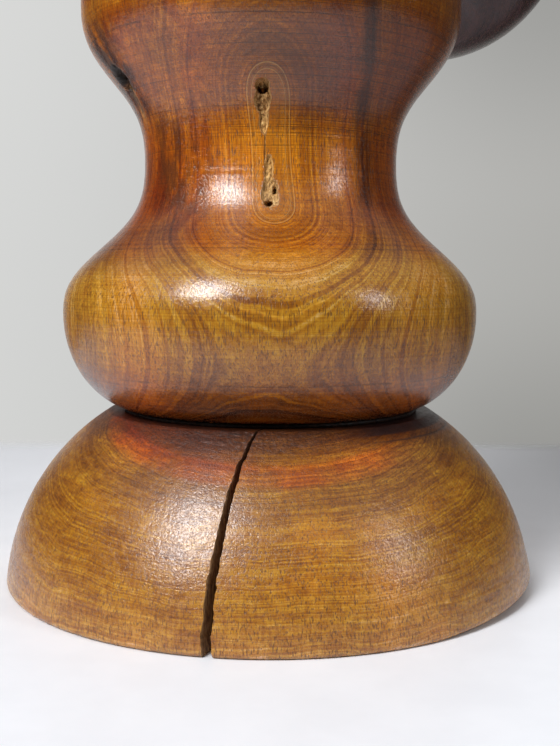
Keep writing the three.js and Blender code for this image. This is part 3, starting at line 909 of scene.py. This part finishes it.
heartRings = (   # millimetres from the pith, half width, colour
    (5.3, 0.17, colour(0.62, 0.38, 0.12)),
    (4.2, 0.13, colour(0.58, 0.34, 0.09)),
    (4.8, 0.24, colour(0.10, 0.035, 0.006)),
)
turningLines = (   # height in millimetres, half width, darkness
    (59.6, 0.3, 0.6),
    (73.5, 0.22, 0.35),
    (92.6, 0.25, 0.5),
    (113.5, 0.2, 0.5),
    (118.6, 0.18, 0.6),
    (128.4, 0.22, 0.5),
    (135.2, 0.2, 0.6),
    (141.6, 0.22, 0.5),
    (147.8, 0.3, 0.7),
)
# Pairs are where a mark starts and where it is full, in millimetres: heights, or places across or back.
bodyMarks = {
    "heartBack": (-20, -30),
    "heartRings": (5.6, 5.0),
    "heartColour": colour(0.50, 0.27, 0.05),
    "lineColour": colour(0.05, 0.015, 0.006),
    "torsoHeights": (120, 134),
    # painted shade on the torso's right, away from the left lamp, and painted light on its left
    "torsoShadeRight": (-4, 18),
    "torsoShadeRightTint": colour(0.66, 0.46, 0.34),
    "torsoLightLeft": (4, -12),
    "torsoLightLeftTint": colour(1.35, 1.3, 1.3),
    "waistHeights": ((94, 104), (130, 120)),
    "waistLeft": (-11, -24),
    "waistRight": (15, 27),
    "waistSideTint": colour(0.68, 0.40, 0.2),
    "ovalHeights": (104, 118),
    "ovalTint": colour(1.3, 1.22, 0.8),
    "hipTopHeights": ((84, 90), (104, 95)),
    "hipTopAcross": (-10, -26),
    "hipTopTint": colour(0.6, 0.48, 0.4),
    "streakAcross": 23.5,
    "streakHalf": (3.4, 0.6),
    "streakHeights": (96, 106),
    "streakBack": (0, -8),
    "streakTint": colour(0.3, 0.26, 0.42),
    "cloudAcross": (-8, -20),
    "cloudHeights": (92, 100),
    "cloudBack": (0, -10),
    "cloudDark": colour(0.5, 0.27, 0.2),
    "cloudPale": colour(1.5, 1.45, 1.1),
    "barkMiddle": (-40.5, -16.5),
    "barkReach": (15, 6),
    "barkHeights": ((122, 130), (156, 147)),
    # the inside of the bark pocket is painted near-black: painted shade
    "barkColour": colour(0.035, 0.017, 0.020),
    "pocketShadeReach": (5.2, 3.4),
    "pocketShadeColour": colour(0.006, 0.003, 0.003),
    "patchAcross": -23.0,
    "patchHalf": (10, 4),
    "patchHeight": 114.0,
    "patchHalfHeight": (20, 8),
    "patchBack": (0, -12),
    "patchColour": colour(0.10, 0.026, 0.006),
    "blisterDepth": 0.22,
}


# The heart: pale and dark rings at set distances from the pith line, on the side where the pith shows.
def heartColour(base, spot):
    side = spot.back.step(*bodyMarks["heartBack"])
    base = mixed(spot.distance.step(*bodyMarks["heartRings"]) * side * 0.1, base, bodyMarks["heartColour"])
    for distance, halfWidth, shade in heartRings:
        base = mixed(spot.distance.peak(distance, halfWidth) * side * 0.5, base, shade)
    return base


# Tints of the torso and waist: painted shade on the torso's right and painted light on its left, and a waist
# with dark sides and a paler oval.
def bodyTints(base, height, across, marks):
    torso = height.step(*marks["torsoHeights"])
    # painted shade on the right of the torso and painted light on its left
    base = mixed(across.step(*marks["torsoShadeRight"]) * torso * 0.8, base, marks["torsoShadeRightTint"], "MULTIPLY")
    base = mixed(across.step(*marks["torsoLightLeft"]) * torso * 0.7, base, marks["torsoLightLeftTint"], "MULTIPLY")
    waist = height.within(*marks["waistHeights"])
    sides = across.step(*marks["waistLeft"]) + across.step(*marks["waistRight"])
    base = mixed(sides * waist * 0.9, base, marks["waistSideTint"], "MULTIPLY")
    oval = (1 - sides) * height.step(*marks["ovalHeights"]) * waist
    return mixed(oval * 0.8, base, marks["ovalTint"], "MULTIPLY")


# What only the body has: the heart, the tints with painted shade and light on the torso, a dark streak, a
# few deep turning lines, bark stain round the pocket and painted shade inside it, clouds on the left of the
# waist, and a patch of blistered lacquer there.
def bodyFinish(spot, base, rough, coat, relief):
    height, across, back, marks = spot.height, spot.across, spot.back, bodyMarks
    base = bodyTints(heartColour(base, spot), height, across, marks)
    drift = grainNoise(spot.place, (0.03, 0.03, 0.03), 1, 0.5) - 0.5
    smudge = grainNoise(spot.place, (0.22, 0.22, 0.1), 3, 0.65)
    streak = (across - drift * 6).near(marks["streakAcross"], *marks["streakHalf"])
    streak = streak * height.step(*marks["streakHeights"]) * back.step(*marks["streakBack"])
    base = mixed(streak * smudge.step(0.3, 0.55) * 0.8, base, marks["streakTint"], "MULTIPLY")
    broken = grainNoise(spot.place, (0.05, 0.05, 0.25), 3, 0.7).step(0.42, 0.56)
    for level, halfWidth, darkness in turningLines:
        line = (height + drift * 0.8).peak(level, halfWidth)
        base = mixed(line * broken * darkness, base, marks["lineColour"])
    hipTop = height.within(*marks["hipTopHeights"]) * across.step(*marks["hipTopAcross"])
    base = mixed(hipTop * 0.8, base, marks["hipTopTint"], "MULTIPLY")

    right, front = marks["barkMiddle"]
    fromBark = ((across - right) * (across - right) + (back - front) * (back - front)).maths("SQRT")
    bark = fromBark.step(*marks["barkReach"]) * height.within(*marks["barkHeights"])
    base = mixed(bark * smudge.step(0.3, 0.6) * 0.9, base, marks["barkColour"])
    above = height - barkPocket["height"]
    fromHole = (fromBark * fromBark + above * above).maths("SQRT")
    # painted shade: the inside of the bark pocket is painted near-black
    base = mixed(fromHole.step(*marks["pocketShadeReach"]) * 0.96, base, marks["pocketShadeColour"])

    cloud = grainNoise(spot.place, (0.075, 0.075, 0.035), 3, 0.6, 0.8)
    clouded = across.step(*marks["cloudAcross"]) * height.step(*marks["cloudHeights"])
    clouded = clouded * back.step(*marks["cloudBack"])
    base = mixed(clouded * cloud.step(0.5, 0.64) * 0.75, base, marks["cloudDark"], "MULTIPLY")
    base = mixed(clouded * cloud.step(0.5, 0.36) * 0.6, base, marks["cloudPale"], "MULTIPLY")
    blister = grainNoise(spot.place, (0.9, 0.9, 1.2), 2, 0.6)
    patch = across.near(marks["patchAcross"], *marks["patchHalf"]) * back.step(*marks["patchBack"])
    patch = patch * height.near(marks["patchHeight"], *marks["patchHalfHeight"])
    base = mixed(patch * smudge.step(0.42, 0.62) * 0.8, base, marks["patchColour"])
    return base, rough - patch * 0.05, coat, relief + patch * blister * marks["blisterDepth"]


# The balls' wood: a darker copy of the golden wood, partly the darker heartwood and partly painted shade.
darkWood = dict(
    goldenWood,
    dimples=0.03,
    turn=(math.radians(64), math.radians(18), math.radians(35)),
    shift=(20, 10, 40),
    pithSway=0.0,
    roughness=0.2,
    palette=(
        (0.00, (0.010, 0.004, 0.004)),
        (0.35, (0.036, 0.013, 0.011)),
        (0.60, (0.085, 0.034, 0.024)),
        (1.00, (0.190, 0.095, 0.055)),
    ),
    heights=((0.0, (0.5, 0.1, 0.3)), (1.0, (0.5, 0.1, 0.3))),
)
headWood = dict(
    goldenWood,
    turn=(0, 0, 0),
    pithBack=84.0,
    pithLean=0.0,
    pithSway=0.0,
    waveSize=6.0,
    heights=((0.0, (0.5, 0.2, 0.0)), (1.0, (0.5, 0.2, 0.0))),
)
redWood = dict(
    goldenWood,
    palette=(
        (0.00, (0.030, 0.008, 0.006)),
        (0.35, (0.130, 0.032, 0.012)),
        (0.60, (0.250, 0.080, 0.020)),
        (1.00, (0.420, 0.170, 0.050)),
    ),
    heights=((0.0, (0.5, 0.4, 0.0)), (1.0, (0.5, 0.4, 0.0))),
)
rawWood = dict(
    goldenWood,
    coat=0.0,
    roughness=0.75,
    palette=(
        (0.00, (0.280, 0.140, 0.050)),
        (0.50, (0.480, 0.290, 0.130)),
        (1.00, (0.640, 0.440, 0.230)),
    ),
    heights=((0.0, (0.5, 0.0, 0.0)), (1.0, (0.5, 0.0, 0.0))),
)


pitchFinish = {
    "colour": colour(0.008, 0.006, 0.006),
    "dust": colour(0.06, 0.026, 0.014),
    "lumps": (0.9, 0.9, 1.4),
    "lumpDepth": 0.3,
    "coat": 0.05,
    "shine": 0.25,
}


# Hard pitch: a lumpy noise sets height and roughness, and its highest lumps are browned with dust.
def pitchMaterial():
    material, tree = newMaterial("blackPitch")
    place = placeIn(tree, (0, 0, 0))[0]
    lumps = grainNoise(place, pitchFinish["lumps"], 3, 0.6)
    sockets = {"Height": lumps, "Distance": pitchFinish["lumpDepth"] * millimetre, "Strength": 1.0}
    closeMaterial(tree, {
        "Base Color": mixed(lumps.step(0.4, 0.75), pitchFinish["colour"], pitchFinish["dust"]),
        "Roughness": 0.25 + lumps * 0.4,
        "Normal": Signal.node(tree, "ShaderNodeBump", {}, sockets),
        "Coat Weight": pitchFinish["coat"],
        "Specular IOR Level": pitchFinish["shine"],
    })
    return material


headGrain = woodMaterial("lacqueredHeadWood", headWood)
bodyWood = woodMaterial("lacqueredBodyWood", goldenWood, bodyFinish)
footWood = woodMaterial("lacqueredFootWood", footLacquer, footFinish)
dark = woodMaterial("lacqueredDarkWood", darkWood)
red = woodMaterial("lacqueredRedWood", redWood)
raw = woodMaterial("rawDowelWood", rawWood)
print("materials made")

makeFoot(footWood)
makeBody(bodyWood)
makePitch(pitchMaterial())
makeBreast(-1, dark)
makeBreast(1, dark)
makeNeck(red)
makeHead(headGrain)
for node in ("foot_dowel", "breast_dowel_right", "breast_dowel_left"):
    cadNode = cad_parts[node]
    cadNode.data.materials.clear()
    cadNode.data.materials.append(raw)


table = {
    "halfWidth": 640.0,
    "near": -236.0,
    "far": 219.0,
    "fade": 36.0,
    "nearFade": 26.0,
    "drop": 0.02,                 # millimetres below the foot
    "pale": (colour(0.85, 0.875, 0.93), colour(0.88, 0.905, 0.96)),
    # where it darkens: from, to, share and tint
    "farShade": (-60, 260, 0.6, colour(0.5, 0.505, 0.53)),
    "cornerShade": (40, 130, 0.35, colour(0.4, 0.4, 0.41)),
    "rightShade": (110, 200, 0.6, colour(0.16, 0.16, 0.165)),
    "cornerBack": (-120, 60),
}
room = {
    "wallLeft": colour(0.66, 0.665, 0.655),
    "wallRight": colour(0.40, 0.396, 0.378),
    "ceiling": colour(0.42, 0.42, 0.42),
    "shade": colour(0.05, 0.048, 0.045),
    "dim": colour(0.2, 0.2, 0.19),
    # parts of the unit direction between which each change takes place
    "wallTurn": (-0.34, 0.34),
    "paleRise": (-0.15, 0.3),
    "brightRise": 0.03,
    "dimReach": (0.03, 0.24),
    "dimTurn": (-0.05, 0.25),
    "wallBack": (0.8, 0.97),
    "ceilingRise": (0.45, 0.8),
}


# A flat grid whose opacity is the product of a smooth step at each edge, darker to the right and far side.
def makeTable():
    material, tree = newMaterial("paleTable")
    place, across, back, _ = placeIn(tree, goldenWood["turn"])
    halfFar, halfNear = table["fade"] / 2, table["nearFade"] / 2
    far = back.step(table["far"] + halfFar, table["far"] - halfFar)
    near = back.step(table["near"] - halfNear, table["near"] + halfNear)
    sides = across.maths("ABSOLUTE").step(table["halfWidth"], table["halfWidth"] - 4 * table["fade"])
    mottle = grainNoise(place, (0.05, 0.05, 0.05), 3, 0.6)
    base = mixed(mottle.step(0.3, 0.7), *table["pale"])
    start, end, share, tint = table["farShade"]
    base = mixed(back.step(start, end) * share, base, tint)
    start, end, share, tint = table["cornerShade"]
    base = mixed(across.step(start, end) * back.step(*table["cornerBack"]) * share, base, tint)
    start, end, share, tint = table["rightShade"]
    base = mixed(across.step(start, end) * share, base, tint)
    closeMaterial(tree, {"Base Color": base, "Roughness": 0.42 + mottle * 0.1, "Alpha": far * near * sides})
    depth = np.linspace(table["near"] - 20, table["far"] + 40, 41)
    x, y = np.meshgrid(np.linspace(-1, 1, 41) * table["halfWidth"], depth)
    points = np.stack([x, y, np.full_like(x, -table["drop"])], axis=-1)
    points = fromFront(points.reshape(-1, 3)) * millimetre
    mesh = bpy.data.meshes.new("table_top")
    mesh.from_pydata(points.tolist(), [], gridFaces(*x.shape, closed=False).tolist())
    mesh.materials.append(material)
    stage = bpy.data.objects.new("table_top", mesh)
    bpy.context.scene.collection.objects.link(stage)


# The room around, as colours mixed by smooth steps of direction: a pale wall that is lighter on the left, a
# ceiling, and shade behind the viewer that only reflections see.
def makeRoom():
    world = bpy.data.worlds.new("room")
    bpy.context.scene.world = world
    world.use_nodes = True
    tree = world.node_tree
    tree.nodes.clear()
    aim = Signal.node(tree, "ShaderNodeTexCoord", output="Generated")
    turned = Signal.node(tree, "ShaderNodeMapping", {}, {"Vector": aim, "Rotation": goldenWood["turn"]})
    right, back, up = axes(turned)
    wall = mixed(right.step(*room["wallTurn"]), room["wallLeft"], room["wallRight"])
    wall = mixed(up.step(*room["paleRise"]) * 0.12, wall, colour(1, 1, 1))
    dim = (up - room["brightRise"]).maths("ABSOLUTE").step(*room["dimReach"]) * right.step(*room["dimTurn"])
    wall = mixed(dim * 0.5, wall, room["dim"])
    surround = mixed(back.step(*room["wallBack"]), room["shade"], wall)
    surround = mixed(up.step(*room["ceilingRise"]), surround, room["ceiling"])
    seen = Signal.node(tree, "ShaderNodeLightPath", output="Is Camera Ray")
    radiance = mixed(seen, surround, wall)
    background = Signal.node(tree, "ShaderNodeBackground", {}, {"Color": radiance, "Strength": 1.0})
    output = tree.nodes.new("ShaderNodeOutputWorld")
    tree.links.new(background.socket, output.inputs["Surface"])


aimHeight = 0.09              # metres
lamps = {
    # degrees right of the viewer, degrees up, metres away, width and height in degrees, watts
    "window_left": (-41, 41, 1.6, 18, 30, 28.5),
    "window_right": (61, 25, 1.6, 9, 24, 5.0),
    "bounce_far": (170, 12, 1.8, 40, 20, 13.0),
}


# A soft rectangle of light aimed at the doll from a direction in the front frame. Each side is twice the
# distance times the tangent of half its angle.
def makeLamp(name, right, up, away, wide, tall, watts):
    data = bpy.data.lights.new(name, "AREA")
    data.shape = "RECTANGLE"
    data.size = 2 * away * math.tan(math.radians(wide / 2))
    data.size_y = 2 * away * math.tan(math.radians(tall / 2))
    data.energy = watts
    lamp = bpy.data.objects.new(name, data)
    lamp.visible_camera = False
    lamp.visible_glossy = not name.startswith("bounce")
    bpy.context.scene.collection.objects.link(lamp)
    side, lift = math.radians(right), math.radians(up)
    outward = np.array([math.sin(side) * math.cos(lift), -math.cos(side) * math.cos(lift), math.sin(lift)])
    backwards = fromFront(outward)
    sideways = np.cross([0, 0, 1], backwards)
    sideways /= np.linalg.norm(sideways)
    upright = np.cross(backwards, sideways)
    setPlace(lamp, sideways, upright, backwards, backwards * away + np.array([0, 0, aimHeight]))


# An object's matrix from its three axes and its place.
def setPlace(thing, sideways, upright, backwards, place):
    matrix = np.eye(4)
    matrix[:3, 0], matrix[:3, 1], matrix[:3, 2], matrix[:3, 3] = sideways, upright, backwards, place
    thing.matrix_world = Matrix(matrix.tolist())


makeTable()
makeRoom()
for name, values in lamps.items():
    makeLamp(name, *values)
print("table, room and lamps made")


eye = {
    "away": 300.44,               # from the lathe axis, and above the table
    "height": 86.6,
    "down": 5.488,                # degrees
    "turn": 0.562,
    "roll": 0.293,
    "sensor": 36.0,
    "lens": 50.09115,
}


# A camera in front of the pith side, looking slightly down: its axes come from cross products of the forward
# direction, turned by the roll.
def makeCamera():
    down, turn, roll = (math.radians(eye[key]) for key in ("down", "turn", "roll"))
    forward = np.array([math.sin(turn) * math.cos(down), math.cos(turn) * math.cos(down), -math.sin(down)])
    level = np.cross(forward, [0, 0, 1])
    level /= np.linalg.norm(level)
    above = np.cross(level, forward)
    sideways = math.cos(roll) * level + math.sin(roll) * above
    upright = math.cos(roll) * above - math.sin(roll) * level
    data = bpy.data.cameras.new("viewer")
    data.sensor_width = eye["sensor"]
    data.lens = eye["lens"]
    data.clip_start = 0.01
    camera = bpy.data.objects.new("viewer", data)
    bpy.context.scene.collection.objects.link(camera)
    place = fromFront(np.array([0, -eye["away"], eye["height"]])) * millimetre
    setPlace(camera, fromFront(sideways), fromFront(upright), -fromFront(forward), place)
    bpy.context.scene.camera = camera


makeCamera()
bpy.context.scene.view_settings.view_transform = "Standard"
print("camera made")
